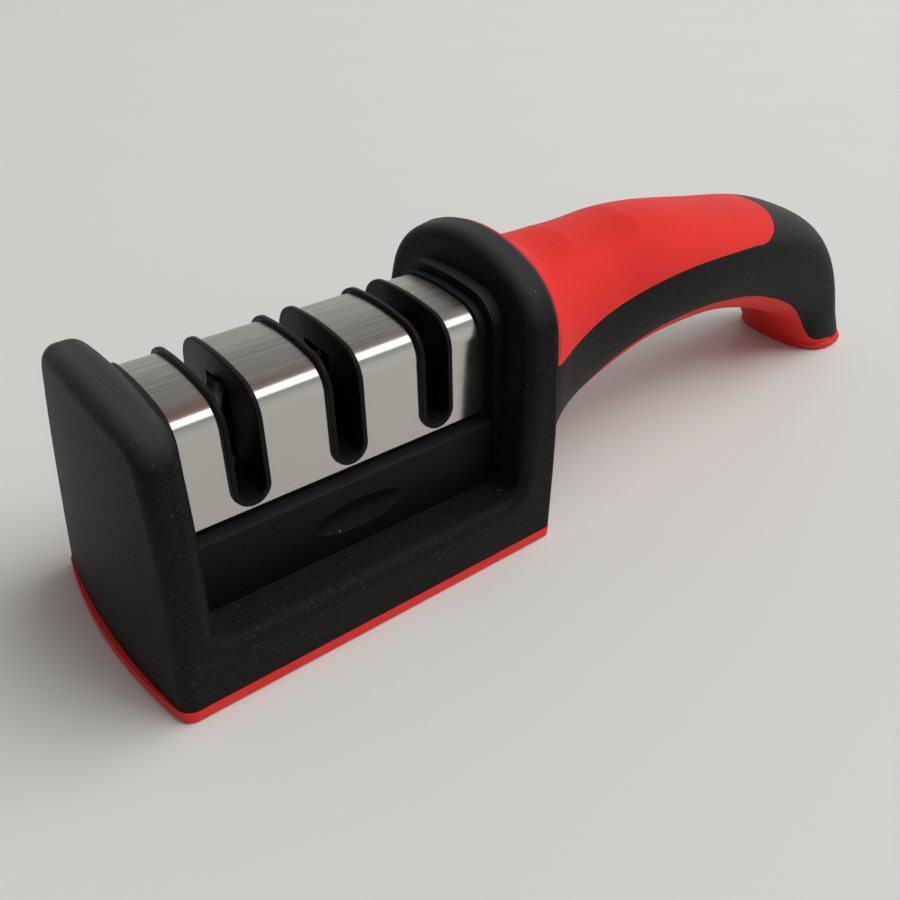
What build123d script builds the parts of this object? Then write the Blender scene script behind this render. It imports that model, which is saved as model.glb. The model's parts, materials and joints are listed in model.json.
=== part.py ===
"""Three-slot hand-held knife sharpener with a lift-out sharpening cartridge.

Millimetres, +Z up, +X towards the handle.  The pieces are drawn with X counted
from the front corners of the base; the last step moves them so that the origin
is the middle of the overall length, at table height, in the mid plane.
"""
import os
from math import copysign, cos, pi, radians, sin

from build123d import *

reach = 80.0               # cutting shapes run this far, past every solid they meet

# base and towers
front_bow = 2.1            # the front face bulges this far ahead of its corners
pad_lip = 0.7              # the pad stands this far ahead of the front face
base_width = 48.0
base_end_x = 76.6          # rear face of the base and of the rear tower
pad_height = 2.4           # red pad under the base
ledge_z = 12.2             # top of the side ledges
side_taper = 0.4           # the sides lean in by this much up to their bend
side_bend_z = 14.0
front_inner_x = 7.2        # inner faces of the towers at ledge height
rear_inner_x = 68.7
front_tower_top = 50.5
rear_tower_top = 55.8
# shoulders of the towers: in from the base side, below the top, radius
front_shoulder = (6.0, 2.1, 7.0)
rear_shoulder = (3.1, 7.2, 14.0)
rear_inner_shoulder = (5.0, 8.0, 14.0)
rear_inner_drop = 0.7      # the rear tower is this much lower at its inner face
front_lean = 0.065         # the faces lean back by this much per mm of height
front_inner_lean = 0.045
rear_inner_lean = 0.064
rear_lean = 0.02
guide_front_x = 8.5        # upright guide faces that hold the cartridge
guide_rear_x = 68.5
guide_proud = 2.0          # the rear guide stands this far over the steel outline
guide_front_top = 40.0
guide_depth = 4.0          # how far the guides reach into the towers
foot_radius = 3.5          # between ledge and towers
front_edge_radius = 2.8
inner_edge_radius = 2.6
rear_edge_radius = 1.2
pocket_floor_z = 7.0

# base plate, pad and screws
plate_sheet = 2.0
plate_margin = 3.2
plate_corner = 2.0
screw_stations = (14.0, 62.0)
screw_inset = 5.4          # screws to the sides of the base
screw_radius = 1.45
screw_head_radius = 2.8
screw_head_height = 1.6
screw_depth = 8.0
pad_edge_radius = 0.6
tread_first_x = 12.0       # grooves across the underside of the pad
tread_pitch = 8.0
tread_half_length = 14.0
tread_width = 2.0
tread_depth = 0.8

# cartridge frame and steel cover
side_gap = 0.3             # cartridge to body, all round
plinth_half = 15.0
plinth_top_z = 25.2
plinth_edge_radius = 0.6
steel_front_x = 10.4
steel_rear_x = 66.7
steel_sheet = 0.6
steel_low_z = 26.5
steel_low_half = 12.75
steel_lean = 0.067
steel_corner = 5.2
steel_shoulder_z = 45.2
steel_crown_z = 46.7
flange_proud = 0.5         # black ends of the frame over the steel outline
press_mark_size = (8.8, 0.9, 3.0)   # half length, depth, half height
press_mark_share = 0.8     # of the depth of its ellipsoid that stays outside the plinth
press_mark_z = 18.3
lid_sheet = 1.6
lid_top_z = 8.9
lid_rim = 1.5
lid_gap = 0.2
lid_screw_inset = 5.2      # screws to the ends of the cartridge
lid_screw_y = 10.2
lid_screw_radius = 1.0
lid_screw_length = 6.5

# slots
slot_centres = (20.6, 38.8, 56.9)
slot_width = 6.7           # opening in the steel, filled by the collar
slot_low_z = 27.4
collar_wall = 1.0
collar_proud = 0.75
window_half_width = 3.7    # opening in the collar for the crossing elements
window_top_z = 42.8

# sharpening elements
crossing_z = 32.5          # where the two elements of a slot cross
rod_radius = 1.5
rod_length = 20.0
rod_tilt = 17.0
rod_half_pitch = 1.75
rod_gap = 0.05
blade_sheet = 1.2
blade_width = 4.6
blade_length = 20.0
blade_lift = 0.5           # the middle of a blade lies this much below the crossing
blade_tilt = 20.0
blade_screw_inset = 2.0    # over the lower ends of the blades
blade_screw_radius = 1.0
blade_screw_gap = 0.1
carrier_top_z = 27.1
carrier_half_length = 7.0
carrier_half_width = 6.0
carrier_gap = 0.3
cavity_reach = (5.2, 8.2, 5.2)     # half length of the cavities over the carriers
screw_room = 1.5           # the blade carrier is this much slimmer each side

# handle, as (top x, top z, bottom x, bottom z, half width, squareness)
skin = 2.0                 # thickness of the red grip
handle_stations = (
    (76.7, 54.8, 76.0, 3.4, 21.6, 2.6),
    (80.5, 51.4, 80.0, 9.0, 20.2, 2.5),
    (85.0, 50.1, 84.8, 12.5, 18.0, 2.4),
    (91.5, 50.0, 91.5, 15.2, 16.0, 2.3),
    (102.0, 50.6, 102.0, 18.2, 14.7, 2.2),
    (113.5, 50.5, 113.0, 21.3, 14.4, 2.2),
    (127.0, 48.9, 125.0, 22.5, 14.3, 2.2),
    (141.0, 46.3, 137.0, 21.9, 14.0, 2.2),
    (156.5, 43.3, 149.5, 19.4, 13.6, 2.4),
    (170.5, 38.2, 161.0, 15.7, 13.3, 2.7),
    (181.0, 29.9, 170.8, 11.1, 13.0, 2.9),
    (188.2, 18.0, 176.4, 6.2, 12.8, 2.9),
    (193.3, 8.0, 178.8, 2.2, 12.6, 2.8),
    (196.9, 0.0, 179.9, 0.0, 12.5, 2.7),
)
# side view of the lower edge of the red grip, from its tip to its rear end
grip_edge = ((82.5, 36.0), (93.5, 37.6), (108.5, 39.9),
             (121.0, 40.6), (134.0, 40.0), (145.6, 39.0))
grip_tip_z = 36.4
grip_end = ((152.8, 40.3), (156.2, 45.0))
grip_rear_top = (156.4, 60.0)
# side view of the seam over the red strip, from the tower to the rear of the foot
strip_seam = ((91.5, 20.2), (102.0, 23.8), (113.2, 26.8), (125.5, 28.2), (137.8, 28.1),
              (147.2, 26.3), (154.2, 23.9), (164.5, 18.3), (169.6, 14.6), (173.5, 10.6),
              (176.8, 6.8), (180.6, 3.4), (187.0, 2.4), (201.0, 2.4))
strip_core_z = 3.0         # the black core of the handle ends here, over the foot
foot_centre_x = 188.5      # foot: a pad that stands out all round the end of the hook
foot_half_length = 9.1
foot_half_width = 13.0
foot_height = 2.0
foot_edge_radius = 0.8
thumb_rest_x = 101.5       # shallow hollow on top of the grip
thumb_rest_half_length = 10.5
thumb_rest_half_width = 10.0
thumb_rest_depth = 0.6
thumb_rest_crown = 18.4    # its radius across the handle


screw_y = base_width / 2 - screw_inset
tread_count = int((base_end_x - tread_first_x) / tread_pitch)
pocket_half_width = plinth_half + side_gap
frame_front_x = guide_front_x + side_gap
frame_rear_x = guide_rear_x - side_gap
lid_half_width = plinth_half - lid_rim - side_gap - lid_gap
lid_screw_stations = (frame_front_x + lid_screw_inset, frame_rear_x - lid_screw_inset)
blade_drop = (blade_length / 2 + blade_lift) * cos(radians(blade_tilt))
blade_screw_z = crossing_z - blade_drop + blade_screw_inset
overall_length = foot_centre_x + foot_half_length + front_bow + pad_lip
origin_x = overall_length / 2 - front_bow - pad_lip


# ---------------------------------------------------------------- drawing helpers
def outline(pieces):
    """Closed sketch face from pieces of two (line) or three (arc) points."""
    edges = [Line(*p) if len(p) == 2 else ThreePointArc(*p) for p in pieces]
    return make_face(edges)


def tower_outline(top_z, shoulder):
    """Symmetric arch: straight foot, bent side, crown arc and rounded shoulders."""
    inset, drop, radius = shoulder
    half = base_width / 2
    bend_y = half - side_taper
    shoulder_y, shoulder_z = half - inset, top_z - drop
    pieces = []
    for side in (1, -1):
        foot = Line((side * half, 0), (side * bend_y, side_bend_z))
        flank = TangentArc((side * bend_y, side_bend_z), (side * shoulder_y, shoulder_z),
                           tangent=foot % 1)
        pieces += [foot, flank]
    crown = ThreePointArc((shoulder_y, shoulder_z), (0, top_z), (-shoulder_y, shoulder_z))
    pieces += [crown, Line((half, 0), (-half, 0))]
    face = make_face(pieces)
    tops = [v for v in face.vertices() if abs(v.Y - shoulder_z) < 0.01]
    return fillet(tops, radius)


def superellipse(half_length, half_height, squareness):
    """Closed smooth face; squareness 2 is an ellipse, more is squarer."""
    power = 2 / squareness
    points = []
    steps = 12
    for step in range(steps):
        angle = 2 * pi * step / steps
        x = half_length * copysign(abs(cos(angle)) ** power, cos(angle))
        y = half_height * copysign(abs(sin(angle)) ** power, sin(angle))
        points.append((x, y))
    return make_face(Spline(*points, periodic=True))


def across(face, x0, x1):
    """Slab with the given (y, z) outline between two stations."""
    return extrude(Plane.YZ.offset(x0) * face, x1 - x0)


def sideways(face):
    """The given (x, z) outline, spread far to both sides of the mid plane."""
    return extrude(Plane.XZ * face, reach, both=True)


def block(x0, x1, half_width, z0, z1):
    return Pos((x0 + x1) / 2, 0, (z0 + z1) / 2) * Box(x1 - x0, 2 * half_width, z1 - z0)


def upright(x, y, z0, z1, radius):
    return Pos(x, y, (z0 + z1) / 2) * Cylinder(radius, z1 - z0)


def along_y(x, z, y0, y1, radius):
    return Pos(x, (y0 + y1) / 2, z) * Rot(90, 0, 0) * Cylinder(radius, y1 - y0)


def corners(stations, y):
    return [(x, side * y) for x in stations for side in (1, -1)]


# ---------------------------------------------------------------- body outlines
def plan_outline(margin=0.0, bow=front_bow):
    """Plan of the base: bowed front, straight sides and rear."""
    half = base_width / 2 - margin
    rear = base_end_x - margin
    return outline([
        ((margin, -half), (margin - bow, 0), (margin, half)),
        ((margin, half), (rear, half)),
        ((rear, half), (rear, -half)),
        ((rear, -half), (margin, -half)),
    ])


def rear_face_x(z):
    return base_end_x + rear_lean * (z - pad_height)


def side_outline():
    """Side view of tray and towers, with rounded feet between ledge and towers."""
    rise = reach - ledge_z
    face = make_face(Polyline(
        (-reach, pad_height), (-reach, reach),
        (front_inner_x + front_inner_lean * rise, reach),
        (front_inner_x, ledge_z), (rear_inner_x, ledge_z),
        (rear_inner_x + rear_inner_lean * rise, reach),
        (rear_face_x(reach), reach), (base_end_x, pad_height), close=True))
    feet = [v for v in face.vertices() if abs(v.Y - ledge_z) < 0.01]
    return fillet(feet, foot_radius)


# ---------------------------------------------------------------- handle
def handle_section(station, inset):
    """Superellipse through the top and bottom points of a station."""
    top = Vector(station[0], 0, station[1])
    bottom = Vector(station[2], 0, station[3])
    rise = top - bottom
    across_dir = Vector(0, 1, 0)
    plane = Plane(origin=(top + bottom) * 0.5, x_dir=across_dir, z_dir=across_dir.cross(rise))
    return plane * superellipse(station[4] - inset, rise.length / 2 - inset, station[5])


def handle_solid(inset):
    return loft([handle_section(station, inset) for station in handle_stations])


def grip_region():
    """Everything the red grip covers in the side view."""
    tip = (rear_face_x(grip_tip_z), grip_tip_z)
    front_top = (rear_face_x(grip_rear_top[1]), grip_rear_top[1])
    return sideways(make_face([
        Spline(tip, *grip_edge),
        ThreePointArc(grip_edge[-1], *grip_end),
        Line(grip_end[-1], grip_rear_top),
        Line(grip_rear_top, front_top),
        Line(front_top, tip),
    ]))


def strip_region():
    """Everything below the seam of the red bottom strip."""
    front, rear = strip_seam[0], strip_seam[-1]
    return sideways(make_face([
        Spline(*strip_seam),
        Line(rear, (rear[0], -reach)),
        Line((rear[0], -reach), (front[0], -reach)),
        Line((front[0], -reach), front),
    ]))


def thumb_cut():
    """Saddle over the handle: hollow along it, crowned across it."""
    top_z = min(handle_stations, key=lambda station: abs(station[0] - thumb_rest_x))[1]
    low_z = top_z - thumb_rest_depth
    swing = thumb_rest_half_length ** 2 / (2 * thumb_rest_depth)
    above = Pos(0, low_z) * Rectangle(2 * thumb_rest_half_width, thumb_rest_crown)
    above -= Pos(0, low_z - thumb_rest_crown) * Circle(thumb_rest_crown)
    turning = Axis((thumb_rest_x, 0, low_z + swing), (0, 1, 0))
    ring = revolve(Plane.YZ.offset(thumb_rest_x) * above, turning, 360)
    ends = 1.2 * thumb_rest_half_length
    return ring & block(thumb_rest_x - ends, thumb_rest_x + ends, base_width, 0, reach)


# ---------------------------------------------------------------- body pieces
def towers_and_tray():
    """Outer shape of the black body without its handle."""
    middle = (front_inner_x + rear_inner_x) / 2
    front = across(tower_outline(front_tower_top, front_shoulder), -reach, middle)
    front &= extrude(plan_outline(), reach, dir=(front_lean, 0, 1))
    inner_face = tower_outline(rear_tower_top - rear_inner_drop, rear_inner_shoulder)
    rear_face = tower_outline(rear_tower_top, rear_shoulder)
    rear = across(inner_face, middle, rear_inner_x)
    rear += loft([Plane.YZ.offset(rear_inner_x) * inner_face,
                  Plane.YZ.offset(rear_face_x(rear_tower_top) + 1) * rear_face], ruled=True)
    return sideways(side_outline()) & (front + rear)


def rounded(shape):
    """Rounds the free edges of towers and tray."""
    def within(edge, x0, x1):
        return all(x0 - 0.01 < (edge @ t).X < x1 + 0.01 for t in (0, 0.5, 1))

    def free(edge):
        on_pad = max((edge @ t).Z for t in (0, 0.5, 1)) < pad_height + 0.01
        straight = edge.geom_type == GeomType.LINE
        cross_line = straight and abs((edge % 0.5).Y) > 0.99
        seam = abs((edge @ 0).X - rear_inner_x) + abs((edge @ 1).X - rear_inner_x) < 0.01
        return not (on_pad or cross_line or seam)

    front = (-front_bow, 3.5, front_edge_radius)
    rear = (base_end_x, base_end_x + 3, rear_edge_radius)
    inner = (front_inner_x, rear_inner_x + 3, inner_edge_radius)
    for x0, x1, radius in (front, rear, inner):
        edges = [e for e in shape.edges() if free(e) and within(e, x0, x1)]
        shape = fillet(edges, radius)
    return shape


def handle_core():
    """Black core of the handle, under the red layers."""
    return handle_solid(skin) & block(0, 3 * reach, base_width, strip_core_z, reach)


def body_shell():
    pocket = block(guide_front_x, guide_rear_x, pocket_half_width, pocket_floor_z, reach)
    front_guide = block(guide_front_x - guide_depth, guide_front_x, pocket_half_width,
                        pad_height, guide_front_top)
    rear_guide = across(steel_outline(guide_proud, pad_height), guide_rear_x,
                        guide_rear_x + guide_depth)
    shell = rounded(towers_and_tray()) + front_guide + rear_guide - pocket
    shell -= plate_blank(plate_margin)
    for x, y in corners(screw_stations, screw_y):
        shell -= upright(x, y, 0, pad_height + screw_depth + 0.5, screw_radius + 0.1)
    handle = handle_solid(0) - grip_region() - strip_region() + handle_core()
    return shell + handle


def plate_blank(margin):
    blank = extrude(Pos(0, 0, pad_height) * plan_outline(margin), plate_sheet)
    return fillet(blank.edges().filter_by(Axis.Z), plate_corner)


def base_plate():
    plate = plate_blank(plate_margin + side_gap)
    for x, y in corners(screw_stations, screw_y):
        plate -= upright(x, y, 0, reach, screw_radius + 0.15)
    return plate


def base_pad():
    pad = extrude(plan_outline(bow=front_bow + pad_lip), pad_height)
    for at_front, radius in ((True, front_edge_radius), (False, rear_edge_radius)):
        uprights = pad.edges().filter_by(Axis.Z)
        pad = fillet([e for e in uprights if ((e @ 0).X < 1) == at_front], radius)
    pad = fillet([e for e in pad.edges() if (e @ 0.5).Z < 0.01], pad_edge_radius)
    for x, y in corners(screw_stations, screw_y):
        pad -= upright(x, y, -1, reach, screw_head_radius + 0.6)
    for step in range(tread_count):
        x = tread_first_x + tread_pitch * step
        half = tread_width / 2
        pad -= block(x - half, x + half, tread_half_length, -1, tread_depth)
    return pad


def base_screws():
    screws = []
    low = pad_height - screw_head_height
    for x, y in corners(screw_stations, screw_y):
        head = upright(x, y, low, pad_height, screw_head_radius)
        head = chamfer(head.edges().group_by(Axis.Z)[0], screw_head_height / 4)
        shank = upright(x, y, low + 0.5, pad_height + screw_depth, screw_radius)
        arm, slot = screw_head_radius / 2, screw_head_radius / 8
        cross = block(x - arm, x + arm, slot, 0, low + 0.5)
        cross += block(x - slot, x + slot, arm, 0, low + 0.5)
        screws.append(head + shank - Pos(0, y, 0) * cross)
    return screws


def grip_top():
    return (handle_solid(0) & grip_region()) - handle_core()


def grip_strip():
    """Red layer under the core, ending in a foot that stands out all round."""
    layer = (handle_solid(0) & strip_region()) - handle_core()
    plan = superellipse(foot_half_length, foot_half_width, handle_stations[-1][5])
    foot = extrude(Pos(foot_centre_x, 0, 0) * plan, foot_height)
    foot = fillet(foot.edges(), foot_edge_radius)
    return (layer & block(0, 3 * reach, base_width, foot_height, reach)) + foot


# ---------------------------------------------------------------- cartridge outlines
def steel_outline(offset, low_z):
    """Outline across the cover: leaning sides, rounded shoulders, arched crown."""
    low = steel_low_half + steel_lean * (steel_low_z - low_z) + offset
    side = steel_low_half - steel_lean * (steel_shoulder_z - steel_low_z) + offset
    shoulder_z = steel_shoulder_z + offset
    face = outline([
        ((low, low_z), (side, shoulder_z)),
        ((side, shoulder_z), (0, steel_crown_z + offset), (-side, shoulder_z)),
        ((-side, shoulder_z), (-low, low_z)),
        ((-low, low_z), (low, low_z)),
    ])
    tops = [v for v in face.vertices() if abs(v.Y - shoulder_z) < 0.01]
    return fillet(tops, steel_corner + offset)


def slot_cut(centre, width, low_z):
    """Slot through the whole width, round at the bottom and open at the top."""
    left, right = centre - width / 2, centre + width / 2
    bend_z = low_z + width / 2
    return sideways(outline([
        ((left, reach), (left, bend_z)),
        ((left, bend_z), (centre, low_z), (right, bend_z)),
        ((right, bend_z), (right, reach)),
        ((right, reach), (left, reach)),
    ]))


# ---------------------------------------------------------------- cartridge pieces
def press_mark(side):
    """Shallow cap of an ellipsoid, cut into the side of the plinth."""
    half_length, depth, half_height = press_mark_size
    rim = (1 - press_mark_share ** 2) ** 0.5
    radius = depth / (1 - press_mark_share)
    dish = scale(Sphere(1), by=(half_length / rim, radius, half_height / rim))
    return Pos(slot_centres[1], side * (plinth_half + radius - depth), press_mark_z) * dish


def cartridge_frame():
    x0, x1 = frame_front_x, frame_rear_x
    low = plinth_top_z - 2
    plinth = block(x0, x1, plinth_half, pocket_floor_z, plinth_top_z)
    top_edges = plinth.edges().group_by(Axis.Z)[-1].filter_by(Axis.X)
    plinth = fillet(top_edges, plinth_edge_radius)
    core = across(steel_outline(-steel_sheet, low), x0, x1)
    front = across(steel_outline(flange_proud, low), x0, steel_front_x)
    rear = across(steel_outline(flange_proud, low), steel_rear_x, x1)
    frame = plinth + core + front + rear
    for centre, half in zip(slot_centres, cavity_reach):
        frame -= slot_cut(centre, slot_width, slot_low_z)
        frame -= block(centre - half, centre + half, window_half_width, 0, window_top_z)
        frame -= carrier_room(centre)
    frame -= block(x0 + lid_rim, x1 - lid_rim, lid_half_width + lid_gap, 0, lid_top_z)
    for x, y in corners(lid_screw_stations, lid_screw_y):
        frame -= upright(x, y, 0, lid_top_z + lid_screw_length, lid_screw_radius + 0.1)
    for side in (1, -1):
        frame -= press_mark(side)
    return frame


def carrier_room(centre):
    half = carrier_half_length + carrier_gap
    return block(centre - half, centre + half, carrier_half_width + carrier_gap, 0, slot_low_z)


def steel_cover():
    outer = across(steel_outline(0, steel_low_z), steel_front_x, steel_rear_x)
    inner = across(steel_outline(-steel_sheet, steel_low_z - 1), steel_front_x, steel_rear_x)
    cover = outer - inner
    for centre in slot_centres:
        cover -= slot_cut(centre, slot_width, slot_low_z)
    return cover


def slot_collar(centre):
    """Black lining of a slot, proud of the steel all round."""
    x0, x1 = centre - slot_width, centre + slot_width
    hull = across(steel_outline(collar_proud, slot_low_z - 1), x0, x1)
    collar = hull & slot_cut(centre, slot_width, slot_low_z)
    collar -= slot_cut(centre, slot_width - 2 * collar_wall, slot_low_z + collar_wall)
    return collar - block(x0, x1, window_half_width, 0, window_top_z)


def rod(centre, side, gap=0.0):
    """One of two crossing rods; side also gives its offset from the mid plane."""
    cylinder = Rot(0, side * rod_tilt, 0) * Cylinder(rod_radius + gap, rod_length)
    return Pos(centre, side * rod_half_pitch, crossing_z) * cylinder


def rod_carrier(centre):
    half = carrier_half_length
    carrier = block(centre - half, centre + half, carrier_half_width, lid_top_z, carrier_top_z)
    for side in (1, -1):
        carrier -= rod(centre, side, rod_gap)
    return carrier


def blade_blank(centre, side):
    plate = Pos(side * blade_width / 2, 0, -blade_lift) * Box(blade_width, blade_sheet, blade_length)
    return Pos(centre, side * blade_sheet / 2, crossing_z) * Rot(0, side * blade_tilt, 0) * plate


def blade_screw_hole(centre):
    return along_y(centre, blade_screw_z, -reach, reach, blade_screw_radius + blade_screw_gap)


def blade(centre, side):
    return blade_blank(centre, side) - blade_screw_hole(centre)


def blade_carrier(centre):
    half = carrier_half_length
    width = carrier_half_width - screw_room
    carrier = block(centre - half, centre + half, width, lid_top_z, carrier_top_z)
    for side in (1, -1):
        carrier -= blade_blank(centre, side)
    return carrier - blade_screw_hole(centre)


def blade_screw(centre):
    face = carrier_half_width - screw_room
    head = along_y(centre, blade_screw_z, -face - 0.8 * screw_room, -face, 2 * blade_screw_radius)
    shank = along_y(centre, blade_screw_z, -face - 0.5 * screw_room, face, blade_screw_radius)
    return head + shank


def cartridge_lid():
    inset = lid_rim + lid_gap
    lid = block(frame_front_x + inset, frame_rear_x - inset, lid_half_width,
                lid_top_z - lid_sheet, lid_top_z)
    for screw in lid_screws(0.1):
        lid -= screw
    return lid


def lid_screws(growth=0.0):
    """Countersunk screws; growth widens them into their holes."""
    screws = []
    low = lid_top_z - lid_sheet
    for x, y in corners(lid_screw_stations, lid_screw_y):
        head = Pos(x, y, low + lid_screw_radius / 2)
        cone = head * Cone(2 * lid_screw_radius, lid_screw_radius, lid_screw_radius)
        shank = upright(x, y, low + lid_screw_radius / 2, low + lid_screw_length,
                        lid_screw_radius + growth)
        screws.append(cone + shank)
    return screws


# ---------------------------------------------------------------- assembly
def pieces():
    fine, medium, coarse = slot_centres
    return {
        "body_shell": body_shell(),
        "grip_top": grip_top() - thumb_cut(),
        "grip_strip": grip_strip(),
        "base_plate": base_plate(),
        "base_pad": base_pad(),
        "base_screws": base_screws(),
        "cartridge_frame": cartridge_frame(),
        "steel_cover": steel_cover(),
        "collar_fine": slot_collar(fine),
        "collar_medium": slot_collar(medium),
        "collar_coarse": slot_collar(coarse),
        "ceramic_carrier": rod_carrier(fine),
        "ceramic_rod_left": rod(fine, 1),
        "ceramic_rod_right": rod(fine, -1),
        "blade_carrier": blade_carrier(medium),
        "carbide_blade_left": blade(medium, 1),
        "carbide_blade_right": blade(medium, -1),
        "blade_screw": blade_screw(medium),
        "diamond_carrier": rod_carrier(coarse),
        "diamond_rod_left": rod(coarse, 1),
        "diamond_rod_right": rod(coarse, -1),
        "cartridge_lid": cartridge_lid(),
        "lid_screws": lid_screws(),
    }


def export():
    os.makedirs("parts", exist_ok=True)
    for name, shape in pieces().items():
        solids = shape if isinstance(shape, list) else [shape]
        solids = [s for item in solids for s in item.solids()]
        moved = [Pos(-origin_x, 0, 0) * s for s in solids]
        part = moved[0] if len(moved) == 1 else Compound(children=moved)
        part.label = name
        export_step(part, f"parts/{name}.step")


export()
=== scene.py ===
"""Looks of the three-slot hand-held knife sharpener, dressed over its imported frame.

Metres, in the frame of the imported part: +X towards the handle, +Z up, and the
origin in the middle of the length at table height.  Material textures count in
millimetres of the same frame.
"""
import json
import math

import bmesh
import bpy
from mathutils import Matrix, Vector
from mathutils.bvhtree import BVHTree

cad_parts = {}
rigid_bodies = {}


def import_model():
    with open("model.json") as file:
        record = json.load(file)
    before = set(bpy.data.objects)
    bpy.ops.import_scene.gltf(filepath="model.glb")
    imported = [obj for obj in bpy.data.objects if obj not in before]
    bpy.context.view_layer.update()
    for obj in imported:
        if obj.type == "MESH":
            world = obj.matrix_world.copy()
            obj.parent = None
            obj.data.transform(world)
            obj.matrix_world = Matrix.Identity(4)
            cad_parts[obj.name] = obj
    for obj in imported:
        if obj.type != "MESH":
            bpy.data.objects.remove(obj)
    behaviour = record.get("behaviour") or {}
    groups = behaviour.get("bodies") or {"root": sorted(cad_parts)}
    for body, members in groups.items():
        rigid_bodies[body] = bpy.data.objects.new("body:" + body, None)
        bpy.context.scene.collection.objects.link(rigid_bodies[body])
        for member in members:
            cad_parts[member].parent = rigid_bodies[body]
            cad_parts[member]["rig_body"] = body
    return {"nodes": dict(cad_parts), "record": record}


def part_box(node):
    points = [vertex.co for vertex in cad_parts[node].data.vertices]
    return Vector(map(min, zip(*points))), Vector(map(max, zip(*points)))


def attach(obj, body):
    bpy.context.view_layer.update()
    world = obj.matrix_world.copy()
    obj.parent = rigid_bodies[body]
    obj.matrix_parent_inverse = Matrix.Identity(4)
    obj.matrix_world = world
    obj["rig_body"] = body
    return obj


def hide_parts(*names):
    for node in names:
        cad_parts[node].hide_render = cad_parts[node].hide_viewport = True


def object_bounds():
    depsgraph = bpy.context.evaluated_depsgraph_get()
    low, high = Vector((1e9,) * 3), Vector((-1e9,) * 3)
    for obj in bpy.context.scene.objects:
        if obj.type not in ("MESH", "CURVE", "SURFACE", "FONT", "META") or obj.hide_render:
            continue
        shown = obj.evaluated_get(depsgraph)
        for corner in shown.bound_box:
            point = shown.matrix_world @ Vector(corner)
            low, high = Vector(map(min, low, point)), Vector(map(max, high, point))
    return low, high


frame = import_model()
bpy.context.view_layer.update()
cad_low, cad_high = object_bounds()
nodes = frame["nodes"]
slot_of = {row["node"]: row["material_slot"] for row in frame["record"]["subparts"]}
MM = 0.001

# ---------------------------------------------------------------- camera and light
LENS, SENSOR = 38.38, 36          # millimetres
CAMERA_AZIMUTH = 0.6876           # radians, turned from +Y towards +X
CAMERA_DIP = 0.6153               # radians, looks down by this angle
CAMERA_ROLL = -0.0261
CAMERA_OFFSET = Vector((-27.44, -122.70, 121.46)) * MM   # from the part's front end

FLOOR_COLOUR = (0.640, 0.652, 0.634, 1)
FLOOR_HALF = 40.0                 # half of its side, in metres
FLOOR_DROP = 0.02 * MM            # below the part, so that no faces coincide

SKY = ((0.00, (0.56, 0.56, 0.55, 1)), (0.35, (0.50, 0.50, 0.49, 1)),
       (0.58, (0.33, 0.33, 0.325, 1)), (0.86, (0.27, 0.265, 0.26, 1)),
       (0.95, (0.26, 0.145, 0.10, 1)))     # Z of the direction, colour
SKY_FRONT, SKY_REAR = 0.45, 1.55           # its share towards -X and towards +X

WINDOW_AIM = Vector((0.41, -0.46, 0.79))
WINDOW_DISTANCE = 4.0
WINDOW_SIZE = (2.8, 1.4)
WINDOW_POWER = 21
SKYLIGHT_AIM = Vector((0.45, -0.25, 0.86))
SKYLIGHT_DISTANCE = 5.0
SKYLIGHT_SIZE = (5.0, 3.75)
SKYLIGHT_POWER = 205

# ---------------------------------------------------------------- rounded edges
COLLAR_ROUNDING, COVER_ROUNDING = 0.22, 0.10      # millimetres
ROUNDING_SEGMENTS = 2
SHARP_EDGE = math.radians(32)     # edges that turn by more are rounded
FLAT_EDGE = math.radians(0.3)     # edges that turn by less are taken out first
SAME_POINT = 1e-6                 # metres

# ---------------------------------------------------------------- flare of the grip
FLARE_AXIS_Z = 0.033              # height of the line that it is drawn round, in metres
FLARE_FAN = math.radians(77.5)    # reaches this far to both sides of +Z
FLARE_FADE = math.radians(7)      # and runs out over this angle
FLARE_COLUMNS, FLARE_STEPS = 96, 18
FLARE_LAP = 0.3 * MM              # runs into the rear tower by this
FLARE_TOWER = 2.2 * MM            # the tower is measured this far before the grip
FLARE_RIM_INSET = 0.20 * MM       # its rim stays inside the tower's edge by this
FLARE_RIM_DEPTH = 0.5 * MM
FLARE_RIM_FLAT = 0.7              # share of that depth before the curve starts
FLARE_BURIED = 0.6 * MM           # its ends are sunk into the handle by this
FLARE_LIFT = 0.03 * MM            # its thin end lies this far over the handle
FLARE_LENGTH, FLARE_LENGTH_TOP = 4.5, 5.5         # millimetres, and added on top
FLARE_SPACING, FLARE_FALL = 1.4, 2.4              # powers of its steps and its curve
BEYOND = 0.1                      # metres, outside the part for a ray's start

# ---------------------------------------------------------------- edge of the strip
# upper edge of the red strip in the drawing: millimetres along the part and above the
# table, with the front end of the red grip at GRIP_START
GRIP_START = 77.28
SEAM = ((93.5, 20.6), (97.5, 24.3), (103, 26.4), (110, 27.9), (117, 28.9),
        (124, 29.4), (131, 29.1), (138, 28.1), (145, 26.5), (152, 24.4),
        (158.3, 22.2), (165, 18.8), (170.5, 14.9), (175, 10.8), (177.9, 7.3),
        (180.2, 4.6), (182.5, 3.5), (185, 3.3), (187.5, 3.1))
STRIP_RINGS, STRIP_STEPS = 90, 11
STRIP_STRIDE = 0.42 * MM          # width of one step round the handle
STRIP_NARROWEST = 0.25            # share of the stride that is left at the ends
STRIP_TAPERS = 8, 5               # rings of the narrow ends, front and rear
STRIP_LIFT, STRIP_FALL = 0.05, 0.10    # millimetres over the surface, and lost again
STRIP_DEPTH = 0.45                # millimetres below the surface, all along
HANDLE_SIDE = 0.013               # rough half width of the handle, in metres
BESIDE = 0.04                     # metres, beside the handle for a ray's start

SMOOTH_UP_TO = math.radians(40)   # shading breaks at edges that turn by more


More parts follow.
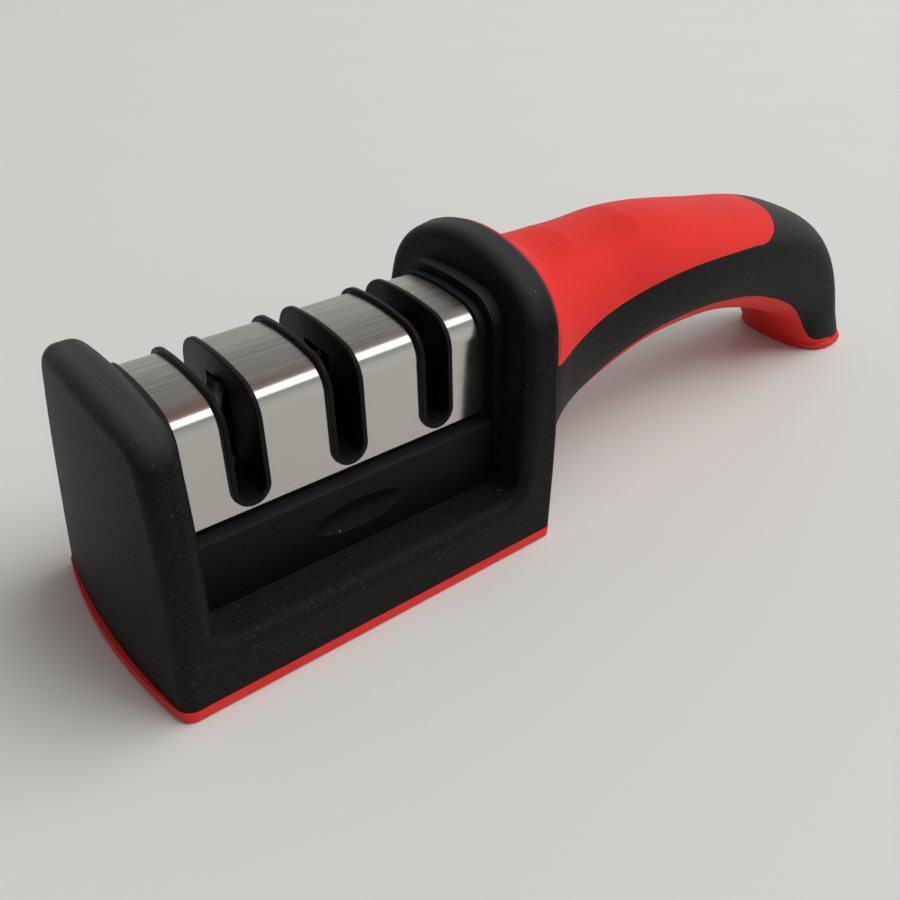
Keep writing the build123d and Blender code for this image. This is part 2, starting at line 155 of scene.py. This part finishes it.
# ---------------------------------------------------------------- shader notation
class Shading:
    """A shader node tree, written in short form."""

    MIX_A, MIX_B, MIX_RESULT = 6, 7, 2    # colour sockets of the Mix node

    def __init__(self, tree):
        self.tree = tree

    def node(self, kind, inputs=None, **settings):
        made = self.tree.nodes.new("ShaderNode" + kind)
        for key, value in settings.items():
            setattr(made, key, value)
        for socket, value in (inputs or {}).items():
            self.feed(made.inputs[socket], value)
        return made

    def feed(self, socket, value):
        if isinstance(value, bpy.types.NodeSocket):
            self.tree.links.new(value, socket)
        else:
            socket.default_value = value

    def span(self, value, low, high, to_low=0.0, to_high=1.0):
        """The value moved from the span low-high to another, and held inside it."""
        inputs = {"Value": value, "From Min": low, "From Max": high,
                  "To Min": to_low, "To Max": to_high}
        return self.node("MapRange", inputs).outputs[0]

    def maths(self, operation, a, b):
        return self.node("Math", {0: a, 1: b}, operation=operation).outputs[0]

    def blend(self, amount, first, second):
        inputs = {"Factor": amount, self.MIX_A: first, self.MIX_B: second}
        return self.node("Mix", inputs, data_type="RGBA").outputs[self.MIX_RESULT]


class Finish(Shading):
    """A material, with textures in millimetres of the frame."""

    def __init__(self, name, **sockets):
        self.material = bpy.data.materials.new(name)
        self.material.use_nodes = True
        super().__init__(self.material.node_tree)
        self.shader = self.tree.nodes["Principled BSDF"]
        for socket, value in sockets.items():
            self.shader.inputs[socket.replace("_", " ")].default_value = value

    def set(self, socket, value):
        self.feed(self.shader.inputs[socket], value)

    def place(self, stretch=(1, 1, 1)):
        """Texture coordinates in millimetres of the frame, stretched per axis."""
        object_space = self.node("TexCoord").outputs["Object"]
        scale = [1 / MM * s for s in stretch]
        return self.node("Mapping", {"Vector": object_space, "Scale": scale}).outputs[0]

    def noise(self, scale, detail=2.0, roughness=0.5, where=None):
        """Noise whose scale counts features per millimetre."""
        inputs = {"Vector": where or self.place(), "Scale": scale,
                  "Detail": detail, "Roughness": roughness}
        return self.node("TexNoise", inputs).outputs["Fac"]

    def uneven(self, pattern, low, high):
        """A noise pattern moved to a range around its usual middle."""
        return self.span(pattern, 0.3, 0.7, low, high)

    def up_facing(self, low, high):
        """0 to 1 between two values of the normal's Z."""
        normal = self.node("NewGeometry").outputs["Normal"]
        height = self.node("SeparateXYZ", {"Vector": normal}).outputs["Z"]
        return self.span(height, low, high)

    def height(self, low, high):
        """0 to 1 between two heights of the frame, in millimetres."""
        where = self.node("TexCoord").outputs["Object"]
        level = self.node("SeparateXYZ", {"Vector": where}).outputs["Z"]
        return self.span(level, low * MM, high * MM)

    def specks(self, cell, share, size):
        """Round specks in a share of the cells: 1 inside, 0 outside; millimetres."""
        cells = self.node("TexVoronoi", {"Vector": self.place(), "Scale": 1 / cell})
        near = self.maths("LESS_THAN", cells.outputs["Distance"], size / cell)
        lot = self.node("SeparateColor", {"Color": cells.outputs["Color"]}).outputs[0]
        chosen = self.maths("GREATER_THAN", lot, 1 - share)
        return self.maths("MULTIPLY", near, chosen)

    def relief(self, *layers):
        """Bumps from (height, depth in millimetres) layers."""
        normal = None
        for height, depth in layers:
            inputs = {"Height": height, "Distance": depth * MM, "Strength": 1.0}
            if normal:
                inputs["Normal"] = normal
            normal = self.node("Bump", inputs).outputs[0]
        self.set("Normal", normal)


def grey(level, warmth=0.0):
    return (level * (1 + warmth), level, level * (1 - warmth), 1)


# ---------------------------------------------------------------- finishes
def moulded_black(name, level, roughness, grain, depth, dust_and_sheen):
    """Spark-eroded black plastic: fine grain, dust specks on what faces up, and a painted
    sheen that lightens what faces up, standing in for light from above.

    grain counts features per millimetre, depth is their height in millimetres, and the
    last argument goes from 0 to 1: it sets both the dust specks and how strong the painted
    top sheen is.
    """
    made = Finish(name, IOR=1.46, Specular_IOR_Level=0.12)
    fine = made.noise(grain, detail=2)
    # Painted top sheen: faces that look up, from 10 mm and fully from 32 mm above the
    # table, are lightened towards this grey, standing in for light from above.
    painted_sheen_grey = grey(level * (2.5 + 4 * dust_and_sheen), -0.02)
    tip, mote = grey(level * 5.5), grey(0.15)
    painted_top_sheen = made.maths("MULTIPLY", made.up_facing(0.30, 0.95), made.height(10, 32))
    base = made.blend(painted_top_sheen, grey(level), painted_sheen_grey)
    tips = made.maths("MULTIPLY", made.span(fine, 0.58, 0.74), 0.65)
    base = made.blend(tips, base, tip)
    if dust_and_sheen:
        motes = made.specks(cell=1.9, share=0.12 * dust_and_sheen, size=0.15)
        lint = made.specks(cell=0.8, share=0.24 * dust_and_sheen, size=0.07)
        seen = made.maths("MULTIPLY", made.maths("MAXIMUM", motes, lint),
                          made.up_facing(0.0, 0.5))
        base = made.blend(seen, base, mote)
    made.set("Base Color", base)
    made.set("Roughness", made.uneven(made.noise(1.2, detail=4),
                                      roughness - 0.04, roughness + 0.04))
    made.relief((fine, depth), (made.noise(grain * 0.4, detail=2), depth * 1.2))
    return made.material


def soft_red(name, colour, dark):
    """Soft red overmould: silky skin, slight unevenness and a little dust."""
    made = Finish(name, IOR=1.42, Specular_IOR_Level=0.3)
    mote = (0.75, 0.32, 0.30, 1)
    cloud = made.span(made.noise(0.06, detail=3), 0.35, 0.7)
    base = made.blend(cloud, colour, dark)
    motes = made.specks(cell=3.1, share=0.10, size=0.13)
    seen = made.maths("MULTIPLY", motes, made.up_facing(0.0, 0.5))
    made.set("Base Color", made.blend(seen, base, mote))
    made.set("Roughness", made.uneven(made.noise(1.5, detail=4), 0.50, 0.58))
    made.relief((made.noise(5.0, detail=3), 0.006))
    return made.material


def brushed_cover():
    """Bright steel sheet: long brush lines on the crown, near mirror on the sides."""
    made = Finish("brushed_steel_sheet", Metallic=1.0)
    bright, brushed = (0.545, 0.535, 0.50, 1), (0.33, 0.32, 0.30, 1)
    crown = made.up_facing(0.80, 0.97)
    lines = made.noise(2.2, detail=4, roughness=0.65, where=made.place((0.022, 1, 1)))
    broad = made.noise(0.8, detail=2, where=made.place((0.03, 1, 1)))
    streak = made.maths("MULTIPLY", made.span(lines, 0.42, 0.68, 0.30, 0.95), crown)
    made.set("Base Color", made.blend(streak, bright, brushed))
    smooth = made.uneven(made.noise(0.25, detail=3), 0.12, 0.16)
    rough = made.maths("MULTIPLY", crown, made.uneven(broad, 0.10, 0.20))
    made.set("Roughness", made.maths("ADD", smooth, rough))
    made.relief((lines, 0.0016), (broad, 0.004))
    return made.material


def plain_steel(name, level, roughness):
    """Ground or plated steel with faint darker patches."""
    made = Finish(name, Metallic=1.0)
    patches = made.noise(1.6, detail=4)
    dull = grey(level * 0.72, 0.03)
    made.set("Base Color", made.blend(made.span(patches, 0.35, 0.7),
                                      grey(level, 0.02), dull))
    made.set("Roughness", made.uneven(patches, roughness - 0.07, roughness + 0.09))
    made.relief((made.noise(7.0, detail=3), 0.004))
    return made.material


def ground_ceramic():
    """White rod, painted dark in its upper part as shade inside the slot."""
    made = Finish("white_ceramic_rod", IOR=1.7)
    white, dark = (0.72, 0.71, 0.67, 1), (0.055, 0.052, 0.048, 1)
    bands = made.noise(1.1, detail=4, where=made.place((1, 1, 3)))
    # Painted shade: the rod turns from white to dark between 37.5 and 41 mm of height,
    # where it lies deep in the slot.
    made.set("Base Color", made.blend(made.height(37.5, 41.0), white, dark))
    made.set("Roughness", made.uneven(bands, 0.38, 0.55))
    made.relief((made.noise(9.0, detail=3), 0.006))
    return made.material


def diamond_coat():
    """Rod of grey grit, seven grains to the millimetre."""
    made = Finish("diamond_coated_rod", Metallic=0.7)
    cells = made.node("TexVoronoi", {"Vector": made.place(), "Scale": 7.0})
    grit = cells.outputs["Distance"]
    grain, edge = grey(0.52), grey(0.22)
    made.set("Base Color", made.blend(made.span(grit, 0.1, 0.7), grain, edge))
    made.set("Roughness", made.span(grit, 0.1, 0.7, 0.28, 0.6))
    made.relief((grit, 0.05))
    return made.material


finishes = {
    "black_plastic": moulded_black("grained_black", level=0.0060, roughness=0.52,
                                   grain=2.0, depth=0.045, dust_and_sheen=1.0),
    "black_plastic_fine": moulded_black("smooth_black", level=0.0042, roughness=0.42,
                                        grain=4.5, depth=0.006, dust_and_sheen=0.35),
    # This black is darker than the outer blacks: painted shade for the parts that lie deep
    # inside.
    "black_plastic_inner": moulded_black("inner_black_painted_shade", level=0.0030, roughness=0.50,
                                         grain=3.6, depth=0.010, dust_and_sheen=0.0),
    "collar_plastic": moulded_black("collar_black", level=0.0032, roughness=0.32,
                                    grain=5.0, depth=0.003, dust_and_sheen=0.15),
    "red_grip": soft_red("soft_red_grip", colour=(0.72, 0.024, 0.018, 1),
                         dark=(0.63, 0.019, 0.015, 1)),
    "red_pad": soft_red("soft_red_pad", colour=(0.76, 0.030, 0.028, 1),
                        dark=(0.68, 0.024, 0.022, 1)),
    "brushed_cover": brushed_cover(),
    "white_ceramic": ground_ceramic(),
    "carbide": plain_steel("ground_carbide", level=0.36, roughness=0.24),
    "diamond_grit": diamond_coat(),
    "screw_steel": plain_steel("zinc_plated_steel", level=0.62, roughness=0.30),
}


# ---------------------------------------------------------------- pieces
def rounded(node, width):
    """Copy of a CAD node with its sharp edges rounded; it stands for the node."""
    body = nodes[node]["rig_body"]
    mesh = bpy.data.meshes.new(node + "_rounded")
    shape = bmesh.new()
    shape.from_mesh(nodes[node].data)
    bmesh.ops.remove_doubles(shape, verts=shape.verts, dist=SAME_POINT)
    bmesh.ops.dissolve_limit(shape, angle_limit=FLAT_EDGE,
                             verts=shape.verts, edges=shape.edges)
    sharp = [e for e in shape.edges
             if e.is_manifold and e.calc_face_angle() > SHARP_EDGE]
    bmesh.ops.bevel(shape, geom=sharp, offset=width * MM, offset_type="OFFSET",
                    segments=ROUNDING_SEGMENTS, profile=0.5, affect="EDGES",
                    clamp_overlap=True)
    for face in shape.faces:
        face.smooth = True
    shape.to_mesh(mesh)
    shape.free()
    made = bpy.data.objects.new(node + "_rounded", mesh)
    bpy.context.scene.collection.objects.link(made)
    weighted = made.modifiers.new("even_shading", "WEIGHTED_NORMAL")
    weighted.weight = 100
    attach(made, body)
    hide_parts(node)
    mesh.materials.append(finishes[slot_of[node]])


def outer_surface(*names):
    """Search tree over the faces of the named nodes."""
    points, faces = [], []
    for name in names:
        mesh = nodes[name].data
        first = len(points)
        points += [v.co.copy() for v in mesh.vertices]
        faces += [[first + i for i in p.vertices] for p in mesh.polygons]
    return BVHTree.FromPolygons(points, faces)


def radius_at(surface, x, outward):
    """Distance of the outer surface from the flare's axis at x, along outward."""
    start = Vector((x, 0, FLARE_AXIS_Z)) + outward * BEYOND
    hit = surface.ray_cast(start, -outward)[0]
    return BEYOND - (start - hit).length


def red_piece(name, rings):
    """Closed piece of the red grip, from closed rings of equal length."""
    count = len(rings[0])
    points = [p for ring in rings for p in ring]
    last = len(points) - count
    faces = [tuple(range(count))[::-1], tuple(range(last, len(points)))]
    for low in range(0, last, count):
        high = low + count
        for j in range(count):
            k = (j + 1) % count
            faces.append((low + j, low + k, high + k, high + j))
    mesh = bpy.data.meshes.new(name)
    mesh.from_pydata(points, [], faces)
    fixed = bmesh.new()
    fixed.from_mesh(mesh)
    bmesh.ops.recalc_face_normals(fixed, faces=fixed.faces)
    fixed.to_mesh(mesh)
    fixed.free()
    for face in mesh.polygons:
        face.use_smooth = True
    mesh.set_sharp_from_angle(angle=SMOOTH_UP_TO)
    made = bpy.data.objects.new(name, mesh)
    bpy.context.scene.collection.objects.link(made)
    made.data.materials.append(finishes["red_grip"])
    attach(made, "body")


def grip_flare():
    """Thin skirt of the red grip that flares out to the rear edge of the rear tower."""
    face_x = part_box("grip_top")[0].x
    surface = outer_surface("body_shell", "grip_top")
    rings = []
    for column in range(FLARE_COLUMNS + 1):
        angle = FLARE_FAN * (2 * column / FLARE_COLUMNS - 1)
        outward = Vector((0, math.sin(angle), math.cos(angle)))
        fade = min(1.0, (FLARE_FAN - abs(angle)) / FLARE_FADE) ** 0.5
        tower = radius_at(surface, face_x - FLARE_TOWER, outward) - FLARE_RIM_INSET
        start = radius_at(surface, face_x + FLARE_RIM_DEPTH, outward)
        flare = max(tower - start, 0.0) * fade
        length = (FLARE_LENGTH + FLARE_LENGTH_TOP * math.cos(angle) ** 2) * MM
        profile = [(face_x - FLARE_LAP, start - FLARE_BURIED),
                   (face_x - FLARE_LAP, start + flare),
                   (face_x + FLARE_RIM_DEPTH * FLARE_RIM_FLAT, start + flare)]
        for step in range(1, FLARE_STEPS + 1):
            share = step / FLARE_STEPS
            x = face_x + FLARE_RIM_DEPTH + length * share ** FLARE_SPACING
            raised = flare * (1 - share) ** FLARE_FALL + FLARE_LIFT
            profile.append((x, radius_at(surface, x, outward) + raised))
        x, radius = profile[-1]
        profile.append((x, radius - FLARE_BURIED))
        rings.append([Vector((x, 0, FLARE_AXIS_Z)) + outward * r for x, r in profile])
    red_piece("grip_flare", rings)


def even_point(points, share):
    """Point at a share of a smooth line through the given points (Catmull-Rom)."""
    at = share * (len(points) - 1)
    i = min(int(at), len(points) - 2)
    t = at - i
    a, b = points[max(i - 1, 0)], points[i]
    c, d = points[i + 1], points[min(i + 2, len(points) - 1)]
    return 0.5 * (2 * b + (c - a) * t + (2 * a - 5 * b + 4 * c - d) * t ** 2
                  + (3 * b - a - 3 * c + d) * t ** 3)


def skin_ring(surface, spot, normal, along, width):
    """Section of the strip's skin, from a spot on the seam towards the underside."""
    outer, inner = [], []
    heading = Vector((0, 1, 0)).cross(along)
    if heading.z > 0:
        heading = -heading
    for step in range(STRIP_STEPS):
        share = step / (STRIP_STEPS - 1)
        lift = STRIP_LIFT - STRIP_FALL * share ** 2
        outer.append(spot + normal * lift * MM)
        inner.append(spot - normal * STRIP_DEPTH * MM)
        heading -= normal * heading.dot(normal)
        heading -= along * heading.dot(along)
        heading.normalize()
        spot, normal = surface.find_nearest(spot + heading * STRIP_STRIDE * width)[:2]
    return outer + inner[::-1]


def strip_edge():
    """Upper edge of the red strip: a thin red skin on both sides of the handle.

    The skin starts at the seam, follows the surface round towards the underside
    and sinks into the strip there.
    """
    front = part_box("grip_top")[0].x - GRIP_START * MM
    seam = [Vector((front + x * MM, 0, z * MM)) for x, z in SEAM]
    surface = outer_surface("body_shell", "grip_strip")
    last = STRIP_RINGS - 1
    path = [even_point(seam, i / last) for i in range(STRIP_RINGS)]
    for side, name in ((-1, "strip_edge_near"), (1, "strip_edge_far")):
        rings = []
        for i, point in enumerate(path):
            along = (path[min(i + 1, last)] - path[max(i - 1, 0)]).normalized()
            start = Vector((point.x, side * BESIDE, point.z))
            spot, normal = surface.ray_cast(start, Vector((0, -side, 0)), BESIDE)[:2]
            if spot is None:
                start.y = side * HANDLE_SIDE
                spot, normal = surface.find_nearest(start)[:2]
            taper = min(1.0, i / STRIP_TAPERS[0], (last - i) / STRIP_TAPERS[1])
            width = STRIP_NARROWEST + (1 - STRIP_NARROWEST) * taper
            rings.append(skin_ring(surface, spot, normal, along, width))
        red_piece(name, rings)


# ---------------------------------------------------------------- studio
def make_floor():
    corners = [(x * FLOOR_HALF, y * FLOOR_HALF, -FLOOR_DROP)
               for x, y in ((-1, -1), (1, -1), (1, 1), (-1, 1))]
    mesh = bpy.data.meshes.new("floor")
    mesh.from_pydata(corners, [], [(0, 1, 2, 3)])
    floor = bpy.data.objects.new("floor", mesh)
    bpy.context.scene.collection.objects.link(floor)
    made = Finish("pale_floor", Base_Color=FLOOR_COLOUR, IOR=1.4)
    made.set("Roughness", made.uneven(made.noise(0.02, detail=3), 0.32, 0.42))
    mesh.materials.append(made.material)


def make_world():
    """Soft sky: its colour by the height of the direction, its strength along X."""
    world = bpy.data.worlds.new("studio")
    world.use_nodes = True
    bpy.context.scene.world = world
    made = Shading(world.node_tree)
    direction = made.node("TexCoord").outputs["Generated"]
    split = made.node("SeparateXYZ", {"Vector": direction}).outputs
    ramp = made.node("ValToRGB", {"Fac": split["Z"]})
    stops = ramp.color_ramp.elements
    while len(stops) < len(SKY):
        stops.new(1.0)
    for stop, (rise, colour) in zip(stops, SKY):
        stop.position, stop.color = rise, colour
    share = made.span(split["X"], -1, 1, SKY_FRONT, SKY_REAR)
    sky = made.node("VectorMath", {0: ramp.outputs[0], "Scale": share},
                    operation="SCALE")
    made.feed(made.tree.nodes["Background"].inputs["Color"], sky.outputs[0])


def make_lamp(name, aim, distance, size, power, mirrored=True):
    lamp = bpy.data.lights.new(name, "AREA")
    lamp.shape = "RECTANGLE"
    lamp.size, lamp.size_y = size
    lamp.energy = power
    holder = bpy.data.objects.new(name, lamp)
    bpy.context.scene.collection.objects.link(holder)
    holder.visible_glossy = mirrored
    direction = aim.normalized()
    holder.location = direction * distance
    holder.rotation_mode = "QUATERNION"
    holder.rotation_quaternion = (-direction).to_track_quat("-Z", "Y")


def make_camera():
    data = bpy.data.cameras.new("camera")
    data.sensor_width = SENSOR
    data.lens = LENS
    camera = bpy.data.objects.new("camera", data)
    bpy.context.scene.collection.objects.link(camera)
    sin_a, cos_a = math.sin(CAMERA_AZIMUTH), math.cos(CAMERA_AZIMUTH)
    sin_d, cos_d = math.sin(CAMERA_DIP), math.cos(CAMERA_DIP)
    ahead = Vector((sin_a * cos_d, cos_a * cos_d, -sin_d))
    level_right = Vector((cos_a, -sin_a, 0))
    level_down = ahead.cross(level_right)
    sin_r, cos_r = math.sin(CAMERA_ROLL), math.cos(CAMERA_ROLL)
    right = cos_r * level_right + sin_r * level_down
    down = -sin_r * level_right + cos_r * level_down
    turn = Matrix((right, -down, -ahead)).transposed().to_4x4()
    place = Vector((cad_low.x, 0, 0)) + CAMERA_OFFSET
    camera.matrix_world = Matrix.Translation(place) @ turn
    data.clip_start, data.clip_end = 0.005, 60
    bpy.context.scene.camera = camera


# ---------------------------------------------------------------- the scene
for name, node in nodes.items():
    node.data.materials.clear()
    node.data.materials.append(finishes[slot_of[name]])
for name in ("collar_fine", "collar_medium", "collar_coarse"):
    rounded(name, COLLAR_ROUNDING)
rounded("steel_cover", COVER_ROUNDING)
grip_flare()
strip_edge()

make_floor()
make_world()
make_lamp("window", WINDOW_AIM, WINDOW_DISTANCE, WINDOW_SIZE, WINDOW_POWER)
make_lamp("skylight", SKYLIGHT_AIM, SKYLIGHT_DISTANCE, SKYLIGHT_SIZE, SKYLIGHT_POWER,
          mirrored=False)
make_camera()
bpy.context.scene.view_settings.view_transform = "Standard"

bpy.context.view_layer.update()
